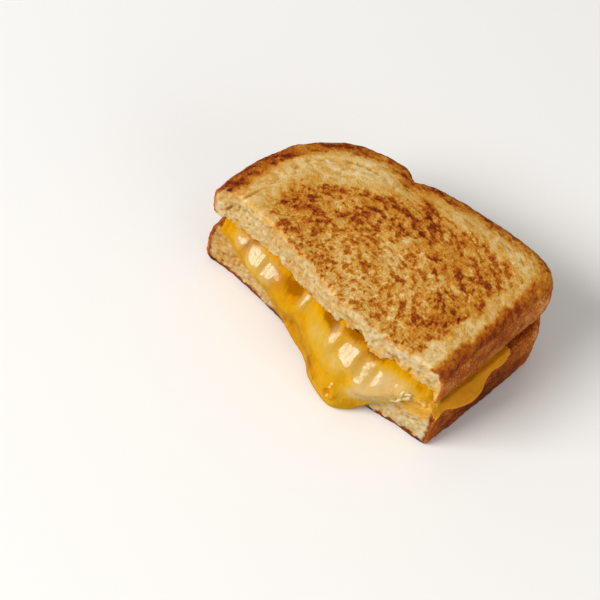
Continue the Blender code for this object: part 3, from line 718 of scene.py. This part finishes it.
# The sheet hanging out of the cut. How far it stands out is worked out over x and height: the CAD
# sheet, plus pillows and less folds, cut off by the slope that leads up to the crumb.
cheeseSheet = {
    "voxel": 0.49,
    "passes": 6,
    "step": 0.5,
    "softness": 0.7,
    "rows": 72,
    # the CAD sheet's front is found by looking along +Y from here, below the height where it runs in
    "lookFrom": -80.0,
    "lookBelow": 27.0,
    # from here on towards the base the CAD solid's own drip is kept
    "dripStart": 50.0,
    # behind the knife cut the CAD solid is kept from here back, and lowered below the crest up to there
    "cutBack": 1.0,
    "lowReach": 7.0,
    "lowered": 3.0,
    "span": (-53.0, 53.0),
    "tallest": 42.0,
    "ended": -2.0,
    "deepest": -2.4,
    # the rise from the crest to the crumb: how far out it starts, its slope, and more under the torn edge
    "wall": (0.2, 0.25, 1.2),
    "wallRounding": 0.8,
    "crestRounding": 0.9,
    "backing": (3.0, 2.0),  # how far behind the cut the sheet's back is, and how far below the crest
    "lumpHeight": 0.15,
    "dripLift": (0.48, 22.0),  # share of the height missing below this height
    "tone": 0.3,
    "hollowShade": 0.35,
    "mostHighlightTint": 0.65,
    "dripToasted": 0.75,
    # where each look fades in, in millimetres: from the knife cut, the table, the crest, or along x or y
    "edges": {
        "front": (1.6, -0.6),
        "hollow": (6.0, 4.0),
        "offTable": (0.2, 3.0),
        "crest": (-0.4, 0.5),
        "liftedDrip": (52.5, 54.5),
        "drip": (51.0, 55.0),
        "crown": (-16.0, -6.0),
        "sideWall": (14.0, 22.0),
    },
    # where the sheet rolls over below the crumb, and how steeply it comes down: x, height, slope
    "crest": [
        (-53, 24.5, 1.1), (-48, 27.0, 1.2), (-45, 28.0, 1.3), (-41, 28.2, 1.3), (-39.5, 28.4, 1.3),
        (-38, 29.5, 1.3), (-30, 29.7, 1.3), (-29.2, 28.4, 1.25), (-24.2, 28.2, 1.25), (-22, 28.2, 1.0),
        (-14, 28.2, 0.9), (-10, 29.6, 0.9), (-9, 30.0, 1.3), (-7.4, 30.1, 1.3), (-6.2, 29.8, 0.9),
        (-3, 30.1, 0.8), (5, 31.2, 0.75), (7.5, 31.7, 1.3), (11, 31.9, 1.3), (13, 32.0, 1.1),
        (14.6, 30.4, 1.3), (21.6, 30.6, 1.3), (22.8, 30.0, 1.25), (23.4, 29.0, 1.3), (28.8, 29.0, 1.3),
        (29.6, 28.8, 1.25), (30.2, 28.8, 1.25), (37.2, 28.8, 1.2), (39.5, 30.0, 0.9), (42, 30.2, 0.9),
        (46, 29.0, 0.9), (50, 26.5, 1.0), (54, 23.5, 1.0),
    ],
    # x, height, half width, half height, how far out
    "pillows": [
        (-43, 25, 3.0, 4.0, 0.8), (-33.5, 25.5, 5.2, 5.5, 3.2), (-26.5, 23.0, 4.4, 5.0, 2.4),
        (-15, 19, 4.4, 4.4, 1.5), (-8.4, 27, 2.4, 3.2, 1.8), (1, 24, 4.5, 8.0, 0.9),
        (9, 27.5, 3.0, 5.5, 2.6), (18.2, 27.4, 4.8, 5.4, 3.2), (26.0, 25.0, 4.6, 5.5, 3.6),
        (33.6, 24.5, 5.2, 5.0, 3.0), (30.5, 17.5, 6.0, 4.5, 1.9), (11, 18.5, 7.0, 3.6, 0.8),
        (18, 8, 6.0, 4.0, 0.5),
    ],
    "folds": [
        (-38.8, 25, 1.6, 5.0, 0.8), (-18, 26, 4.0, 4.0, 1.0), (-8.5, 15, 3.5, 5.0, 1.2),
        (4.5, 27, 2.0, 5.0, 0.7), (21, 20, 2.2, 5.0, 1.2), (6, 13.6, 4.0, 1.4, 1.3),
        (14, 14.2, 5.0, 1.4, 1.4), (21, 14.5, 3.0, 2.5, 0.6), (0, 6, 3.5, 4.0, 1.5),
        (27, 4, 3.0, 4.0, 0.8), (45, 19, 6.0, 3.5, 2.2),
    ],
    # grooves that run down between the pillows, on the roll-over too
    "grooves": [
        (-39.4, 27, 0.9, 3.5, 0.7), (-31.4, 24.4, 0.7, 2.2, 0.4), (-12.2, 28, 2.0, 3.0, 0.7),
        (-4.4, 27, 1.6, 4.0, 0.5), (6.2, 29, 1.0, 4.0, 0.6), (13.2, 29.5, 1.1, 5.0, 0.9),
        (22.4, 27.5, 0.6, 5.0, 0.9), (29.5, 26.5, 0.55, 4.0, 0.6), (38.4, 27.5, 0.8, 4.0, 0.5),
    ],
    # where the white cheese shows: x, height, half width, half height, amount
    "cream": [
        (31, 19, 7, 7, 0.8), (25, 14, 4.5, 3.5, 0.5), (36, 26, 6, 5, 0.6), (8, 24, 9, 6, 0.3),
        (-32, 24, 5, 4, 0.15), (1, 25, 4, 5, 0.2), (18, 5, 6, 5, 0.12), (16, 21, 5, 5, 0.25),
        (42, 27, 4, 5, 0.3),
    ],
    # painted highlight colour: a dull cream laid under the key lamp's highlights, so that they read cream
    "film": [
        (-43, 26.2, 2.6, 2.8, 0.7), (-34, 27, 4.0, 3.2, 0.8), (-26.2, 25.2, 3.4, 3.4, 0.8),
        (-8, 28.5, 1.6, 2.6, 0.6), (9.5, 29.5, 1.9, 3.4, 0.65), (18.3, 27.5, 3.6, 3.6, 0.7),
        (26, 26, 3.0, 3.6, 0.6), (33, 25, 3.2, 3.6, 0.4),
    ],
    # where it has soaked into loose crumb: rough and dull
    "soaked": [(43.5, 20.5, 5.5, 4.5, 1.4), (49.5, 23, 4, 4, 1.2)],
    # partly where it is thicker and deeper in colour, partly painted shade in the dips, folds and grooves and
    # in the hollows under the crumb
    "amberAndShade": [
        (-10, 14, 8, 5, 0.2), (5, 9, 6, 3.5, 0.25), (-17, 27, 5, 3, 0.3), (3, 32, 3, 2.5, 0.2),
        (-39, 28, 2.5, 3, 0.2), (21, 18, 2.5, 6, 0.15), (22.6, 29, 1.4, 3, 0.1),
        (5.4, 30.4, 3.6, 1.7, 0.55), (17.2, 33.2, 4.0, 1.7, 0.65), (25.4, 30.6, 2.8, 1.3, 0.55),
        (-13.2, 27.6, 3.2, 1.6, 0.3),
    ],
    # where the surface is dull: x, height, half width, half height, amount
    "dull": [
        (-37, 30.5, 3.5, 1.6, 1), (-24, 30.5, 4, 1.6, 1), (-19, 28.5, 4.5, 3, 0.9),
        (-14, 27, 3.2, 3.4, 1.2), (-2, 30.5, 3.4, 3, 0.9), (5.5, 32.5, 3.4, 2.2, 1),
        (3.6, 28, 2.2, 4, 0.8), (18, 35.4, 4.4, 2.2, 1), (26, 32.6, 3.2, 1.5, 1),
        (33.5, 34.5, 4, 2.4, 1), (42, 31, 4, 4, 0.8),
    ],
    # burst bubbles: x, height, ring radius, ring width, how far out
    "bubbles": [(18.0, 10.4, 2.2, 0.9, 1.4), (8.6, 7.6, 0.5, 0.6, 0.6)],
}


def sheetFront(tree, x, z):
    # how far the CAD sheet stands out from the knife cut at one place; behind the cut where it has ended
    start = Vector((x, cheeseSheet["lookFrom"], min(z, cheeseSheet["lookBelow"])))
    hit = tree.ray_cast(start, Vector((0, 1, 0)))[0]
    return max(cutLine(x) - hit.y, cheeseSheet["ended"]) if hit else cheeseSheet["ended"]


def blurred(grid, cells):
    # softens a grid of heights along both directions
    reach = int(3 * cells) + 1
    weights = np.exp(-0.5 * (np.arange(-reach, reach + 1) / cells) ** 2)
    weights /= weights.sum()
    for axis in (0, 1):
        padded = np.pad(grid, [(reach, reach) if k == axis else (0, 0) for k in (0, 1)], mode="edge")
        grid = np.apply_along_axis(np.convolve, axis, padded, weights, "valid")
    return grid


def softLeast(first, second, width):
    # the smaller of two surfaces, with the corner between them rounded
    blend = np.clip(0.5 + 0.5 * (second - first) / width, 0.0, 1.0)
    return first * blend + second * (1.0 - blend) - width * blend * (1.0 - blend)


def clearFront(shell):
    # flattens the merged copy behind the knife cut and lowers it there, to make room for the new front
    for vertex in shell.verts:
        x = vertex.co.x / mm
        if x < cheeseSheet["dripStart"]:
            vertex.co.y = max(vertex.co.y, (cutLine(x) + cheeseSheet["cutBack"]) * mm)
            if vertex.co.y < (cutLine(x) + cheeseSheet["lowReach"]) * mm:
                crest = float(readAlong(cheeseSheet["crest"], 1, x))
                vertex.co.z = min(vertex.co.z, (crest - cheeseSheet["lowered"]) * mm)


def addSheet(shell):
    # puts the fully shaped front on the merged copy, as a closed shell that the remesh joins to it
    tree = facesOf("cheese", lambda normal, centre: True)
    clearFront(shell)
    step = cheeseSheet["step"]
    across = np.arange(*cheeseSheet["span"], step)
    heights = np.arange(0.0, cheeseSheet["tallest"], step)
    x, z = np.meshgrid(across, heights, indexing="ij")
    body = np.array([[sheetFront(tree, px, pz) for pz in heights] for px in across])
    body += spots(cheeseSheet["pillows"], x, z) - spots(cheeseSheet["folds"], x, z)
    crest = readAlong(cheeseSheet["crest"], 1, x)
    torn = readAlong(topSlice["tornEdge"], 1, x)
    lid = readAlong(cheeseSheet["crest"], 2, x) * (crest - z)
    foot, slope, steeper = cheeseSheet["wall"]
    wall = foot - slope * (z - crest) - steeper * np.maximum(z - torn + 0.3, 0.0)
    lid = -softLeast(-lid, -wall, cheeseSheet["wallRounding"])
    out = softLeast(body, lid, cheeseSheet["crestRounding"])
    out -= spots(caves, x, z) + spots(cheeseSheet["grooves"], x, z)
    out = blurred(out, cheeseSheet["softness"] / step)
    grid = []
    thick, low = cheeseSheet["backing"]
    for place, column, crestHere, tornHere in zip(across, out, crest[:, 0], torn[:, 0]):
        lowest = max(heights[np.argmax(column > -0.5)] - 0.5, 0.0)  # just under where the sheet starts
        rowHeights = np.linspace(lowest, tornHere + 1.0, cheeseSheet["rows"])
        outHere = np.maximum(np.interp(rowHeights, heights, column), cheeseSheet["deepest"])
        knife = cutLine(place)
        front = [Vector((place, knife - o, h)) for o, h in zip(outHere, rowHeights)]
        back = [Vector((place, knife + thick, min(h, crestHere - low))) for h in rowHeights]
        grid.append([shell.verts.new(corner * mm) for corner in front + back[::-1]])
    for first, second in zip(grid, grid[1:]):
        for k in range(len(first)):
            j = (k + 1) % len(first)
            shell.faces.new((first[k], second[k], second[j], first[j]))
    shell.faces.new(grid[0])
    shell.faces.new(grid[-1][::-1])


def makeCheese(material):
    piece = softCopy("cheese", "melted_cheese", cheeseSheet["voxel"], cheeseSheet["passes"], addSheet)
    mesh = piece.data
    points = places(mesh)
    x, y, z = points.T.copy()
    toKnife = y - cutLine(x)
    edges = cheeseSheet["edges"]
    front = smoothStep(*edges["front"], toKnife)
    height = roughness3d(points, 5.0, 8.0) + front * roughness3d(points, 9.0, 9.0, 2)
    height *= cheeseSheet["lumpHeight"]
    soaked = np.clip(spots(cheeseSheet["soaked"], x, z), 0.0, 1.0) * front
    height += soaked * roughness3d(points, 2.6, 12.0)
    points = points + directions(mesh) * (height * smoothStep(*edges["offTable"], z))[:, None]
    for px, pz, ring, width, amount in cheeseSheet["bubbles"]:
        points[:, 1] -= front * amount * mound((np.hypot(x - px, z - pz) - ring) / width)
    # the drip down the base crust is drawn up a little
    lift, top = cheeseSheet["dripLift"]
    points[:, 2] += lift * np.maximum(top - z, 0.0) * smoothStep(*edges["liftedDrip"], x)
    placeVertices(mesh, points)

    # painted shade: the hollows under the crumb's torn edge are coloured darker, on top of their real depth
    hollow = spots(caves, x, z)
    shade = cheeseSheet["hollowShade"] * hollow * smoothStep(*edges["hollow"], toKnife)
    overCrest = smoothStep(*edges["crest"], z - readAlong(cheeseSheet["crest"], 1, x))
    overCrest *= x < edges["drip"][0]
    dull = (spots(cheeseSheet["dull"], x, z) + 2.0 * hollow + soaked) * front
    # the drip down the base crust and the edge all round have caught more heat
    drip = smoothStep(*edges["drip"], x)
    edge = np.maximum(smoothStep(*edges["crown"], y) * (1.0 - drip), smoothStep(*edges["sideWall"], y))
    # white cheese lighter, the amber rows darker; these are partly painted shade
    marbled = spots(cheeseSheet["cream"], x, z) - spots(cheeseSheet["amberAndShade"], x, z)
    storeValues(
        mesh,
        # the tone, less the painted shade in the hollows
        cream=cheeseSheet["tone"] + front * marbled - shade,
        gloss=1.0 - np.clip(np.maximum(dull, overCrest), 0.0, 1.0),
        # painted highlight colour, under the highlights
        film=np.clip(spots(cheeseSheet["film"], x, z), 0.0, cheeseSheet["mostHighlightTint"]) * front,
        soaked=soaked,
        toasted=np.maximum(cheeseSheet["dripToasted"] * drip, edge),
    )
    mesh.materials.append(material)
    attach(piece, "root")
    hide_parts("cheese")
    print("melted_cheese", len(mesh.polygons), "faces")


cheddarLooks = {
    "marbled": [
        # the darkest stops are reached where painted shade is laid on, in the hollows, dips and folds
        (0.00, "#985A00"), (0.16, "#B87A00"), (0.38, "#C79002"),
        (0.58, "#C3972A"), (0.78, "#C69E4C"), (1.00, "#CCA768"),
    ],
    # the dull cream painted under the highlights
    "film": "#BEA76A",
    "soaked": [(0.0, "#C48A24"), (0.5, "#CA9A3C"), (1.0, "#CCB078")],
    "toasted": [(0.75, "#D88C16"), (1.0, "#C0722C")],
    "pull": (1.0, 0.16, 0.16),  # strings run down the sheet, so the pattern is long that way
    # noise patterns: size, detail, roughness
    "patterns": {
        "marbling": (7.0, 3.0, 0.6), "strings": (1.1, 2.0, 0.6),
        "crumbs": (2.4, 3.0, 0.6), "ripples": (2.2, 3.0, 0.5),
    },
    "rippleDepth": 0.9,
}


def meltedCheddar():
    # Melted cheddar with a streak of white cheese: an oily, half-clear mass, so it is glossy and
    # light goes a little way in
    material = bpy.data.materials.new("meltedCheddar")
    material.use_nodes = True
    tree = material.node_tree
    shader = tree.nodes["Principled BSDF"]
    place = addNode(tree, "ShaderNodeTexCoord")["Object"]
    pull = addNode(tree, "ShaderNodeMapping", {}, {"Vector": place, "Scale": cheddarLooks["pull"]})[0]
    marks = {}
    for name in ("cream", "gloss", "film", "soaked", "toasted"):
        marks[name] = addNode(tree, "ShaderNodeAttribute", {"attribute_name": name})["Fac"]
    patterns = {}
    for name, (size, detail, roughness) in cheddarLooks["patterns"].items():
        patterns[name] = addNode(tree, "ShaderNodeTexNoise", {}, {
            "Vector": pull if name == "strings" else place,
            "Scale": 1 / (size * mm), "Detail": detail, "Roughness": roughness,
        })["Fac"]
    # the cream attribute raises the tone, and carries the painted shade that lowers it
    tone = addUp(tree, -0.55, [(patterns["marbling"], 0.6), (patterns["strings"], 0.5)])
    tone = addNode(tree, "ShaderNodeMath", {"operation": "ADD", "use_clamp": True}, {
        0: tone, 1: marks["cream"],
    })[0]
    marbled = addNode(tree, "ShaderNodeValToRGB", {"stops": cheddarLooks["marbled"]}, {"Fac": tone})["Color"]
    # painted highlight colour under the highlights, crumb soaked with cheese, and toasted edges
    crumbs = addNode(tree, "ShaderNodeMapRange", {"interpolation_type": "SMOOTHSTEP"}, {
        "Value": patterns["crumbs"], "From Min": 0.36, "From Max": 0.64,
    })[0]
    soaked = addNode(tree, "ShaderNodeValToRGB", {"stops": cheddarLooks["soaked"]}, {"Fac": crumbs})["Color"]
    toasted = addNode(tree, "ShaderNodeValToRGB", {"stops": cheddarLooks["toasted"]}, {
        "Fac": marks["toasted"],
    })["Color"]
    colour = paintOver(tree, marbled, [
        (marks["film"], srgb(cheddarLooks["film"])), (marks["soaked"], soaked), (marks["toasted"], toasted),
    ])
    tree.links.new(colour, shader.inputs["Base Color"])
    shader.inputs["Roughness"].default_value = 0.3
    shader.inputs["IOR"].default_value = 1.46
    shader.inputs["Specular IOR Level"].default_value = 0.0  # the coat of oil gives all the gloss
    oily = addNode(tree, "ShaderNodeMapRange", {}, {
        "Value": patterns["strings"], "From Min": 0.36, "From Max": 0.58, "To Min": 0.46, "To Max": 0.92,
    })[0]
    coat = addNode(tree, "ShaderNodeMath", {"operation": "MULTIPLY"}, {0: marks["gloss"], 1: oily})[0]
    tree.links.new(coat, shader.inputs["Coat Weight"])
    shader.inputs["Coat Roughness"].default_value = 0.16
    shader.inputs["Coat IOR"].default_value = 1.47
    shader.inputs["Subsurface Weight"].default_value = 0.45
    shader.inputs["Subsurface Radius"].default_value = (1.0, 0.75, 0.2)
    shader.inputs["Subsurface Scale"].default_value = 2.0 * mm
    bumps = addNode(tree, "ShaderNodeBump", {}, {
        "Height": addUp(tree, patterns["ripples"], [(patterns["strings"], 0.5)]),
        "Distance": cheddarLooks["rippleDepth"] * mm,
        "Strength": 0.5,
    })[0]
    tree.links.new(bumps, shader.inputs["Normal"])
    return material


# strings of white cheese pulled across the cut near the base: x, height and how far out, at both ends
whiteShreds = {
    "thickness": 0.58,
    "points": 14,
    "sway": 0.5,
    "strings": [
        ((38.6, 19.0, 2.6), (43.8, 28.0, 1.9)), ((39.6, 19.8, 2.5), (43.0, 26.0, 2.0)),
        ((40.4, 21.4, 2.3), (44.4, 27.0, 1.7)), ((39.4, 22.2, 2.8), (42.4, 27.6, 2.2)),
        ((41.6, 22.0, 2.1), (43.6, 24.6, 1.9)), ((37.4, 18.8, 2.8), (39.6, 20.4, 2.6)),
    ],
    "stops": [(0.38, "#C6A664"), (0.62, "#DBC698")],
    "strandSize": 1.4,
}


def whiteCheese():
    # strings of stretched white cheese: smooth, half-clear and a little oily
    material = bpy.data.materials.new("stretchedWhiteCheese")
    material.use_nodes = True
    tree = material.node_tree
    shader = tree.nodes["Principled BSDF"]
    strands = addNode(tree, "ShaderNodeTexNoise", {}, {
        "Vector": addNode(tree, "ShaderNodeTexCoord")["Object"],
        "Scale": 1 / (whiteShreds["strandSize"] * mm), "Detail": 3.0, "Roughness": 0.6,
    })["Fac"]
    colour = addNode(tree, "ShaderNodeValToRGB", {"stops": whiteShreds["stops"]}, {"Fac": strands})["Color"]
    tree.links.new(colour, shader.inputs["Base Color"])
    bumps = addNode(tree, "ShaderNodeBump", {}, {"Height": strands, "Distance": 0.3 * mm, "Strength": 0.5})[0]
    tree.links.new(bumps, shader.inputs["Normal"])
    shader.inputs["Roughness"].default_value = 0.35
    shader.inputs["IOR"].default_value = 1.46
    shader.inputs["Subsurface Weight"].default_value = 0.4
    shader.inputs["Subsurface Radius"].default_value = (1.0, 0.75, 0.4)
    shader.inputs["Subsurface Scale"].default_value = 1.0 * mm
    return material


def makeShreds(material):
    data = bpy.data.curves.new("white_shreds", "CURVE")
    data.dimensions = "3D"
    data.bevel_depth = whiteShreds["thickness"] * mm
    data.bevel_resolution = 2
    data.use_fill_caps = True
    last = whiteShreds["points"] - 1
    for number, (start, end) in enumerate(whiteShreds["strings"]):
        spline = data.splines.new("POLY")
        spline.points.add(last)
        for k, point in enumerate(spline.points):
            t = k / last
            x, z, out = (a + (b - a) * t for a, b in zip(start, end))
            sway = whiteShreds["sway"] * math.sin(7.0 * t + 2.0 * number)
            out += whiteShreds["sway"] * math.sin(9.0 * t + number)
            point.co = (*(Vector((x + sway, cutLine(x) - out, z - sway)) * mm), 1.0)
            point.radius = 0.45 + 0.75 * math.sin(math.pi * t) ** 0.6  # thin at the ends
    drawn = addToScene("shredCurve", data)
    mesh = bpy.data.meshes.new_from_object(drawn.evaluated_get(bpy.context.evaluated_depsgraph_get()))
    bpy.data.objects.remove(drawn)
    mergeCorners(mesh)
    mesh.shade_smooth()
    piece = addToScene("white_shreds", mesh)
    mesh.materials.clear()
    mesh.materials.append(material)
    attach(piece, "root")
    print("white_shreds", len(mesh.polygons), "faces")


# angles in degrees, distances in millimetres
cameraView = {
    "azimuth": 33.0,
    "elevation": 55.0,
    "roll": 12.6,
    "distance": 601.2,
    "lens": 100.0,
    "sensor": 36.0,
    "lookAt": (-11.4, -26.9, 22.5),
}


def makeCamera():
    azimuth, elevation, roll = (math.radians(cameraView[name]) for name in ("azimuth", "elevation", "roll"))
    level = math.cos(elevation)
    back = Vector((math.sin(azimuth) * level, -math.cos(azimuth) * level, math.sin(elevation)))
    right = Vector((math.cos(azimuth), math.sin(azimuth), 0.0))
    up = back.cross(right)
    rolledRight = right * math.cos(roll) + up * math.sin(roll)
    rolledUp = up * math.cos(roll) - right * math.sin(roll)
    data = bpy.data.cameras.new("camera")
    data.lens = cameraView["lens"]
    data.sensor_width = cameraView["sensor"]
    camera = addToScene("camera", data)
    place = (Vector(cameraView["lookAt"]) + back * cameraView["distance"]) * mm
    turn = Matrix((rolledRight, rolledUp, back)).transposed().to_4x4()
    camera.matrix_world = Matrix.Translation(place) @ turn
    bpy.context.scene.camera = camera


# lamps: place, width and height in metres, power in watts, colour
studio = {
    "lamps": {
        "keySoftbox": ((-0.95, -1.75, 1.65), (1.5, 1.1), 66.0, "#FFFEFC"),
        "fillSoftbox": ((1.7, -0.3, 0.8), (1.4, 1.0), 7.0, "#FFFCF6"),
    },
    "lampAim": (0.0, 0.0, 0.02),
    "room": "#F6F6F4",
    "roomStrength": 0.45,
    "roomInGloss": 0.10,
    "floor": "#F2F1EF",
    "floorWidth": 6.0,
}


def makeStudio():
    for name, (place, size, power, colour) in studio["lamps"].items():
        data = bpy.data.lights.new(name, "AREA")
        data.shape = "RECTANGLE"
        data.size, data.size_y = size
        data.energy = power
        data.color = srgb(colour)[:3]
        lamp = addToScene(name, data)
        lamp.location = place
        lamp.rotation_euler = (Vector(studio["lampAim"]) - Vector(place)).to_track_quat("-Z", "Y").to_euler()

    # the room lights the piece evenly but shows only faintly in its gloss
    world = bpy.data.worlds.new("paleRoom")
    bpy.context.scene.world = world
    world.use_nodes = True
    tree = world.node_tree
    seenInGloss = addNode(tree, "ShaderNodeLightPath")["Is Glossy Ray"]
    fainter = studio["roomInGloss"] - studio["roomStrength"]
    strength = addUp(tree, studio["roomStrength"], [(seenInGloss, fainter)])
    tree.nodes["Background"].inputs["Color"].default_value = srgb(studio["room"])
    tree.links.new(strength, tree.nodes["Background"].inputs["Strength"])

    # matt white card, just below the piece
    bpy.ops.mesh.primitive_plane_add(size=studio["floorWidth"], location=(0, 0, -0.05 * mm))
    floor = bpy.context.object
    floor.name = "floor"
    paint = bpy.data.materials.new("mattWhiteCard")
    paint.use_nodes = True
    shader = paint.node_tree.nodes["Principled BSDF"]
    shader.inputs["Base Color"].default_value = srgb(studio["floor"])
    shader.inputs["Roughness"].default_value = 0.6
    floor.data.materials.append(paint)
    floor.visible_glossy = False  # it lights the piece but doesn't show in its gloss
    bpy.context.scene.view_settings.view_transform = "Standard"


relief = breadRelief(friedBread())
print("bread material and relief made")
makeSlice("bread_top", "top_slice", topSlice, True, relief)
makeSlice("bread_bottom", "under_slice", underSlice, False, relief)
makeCheese(meltedCheddar())
makeShreds(whiteCheese())
makeCamera()
makeStudio()
print("camera and studio set")
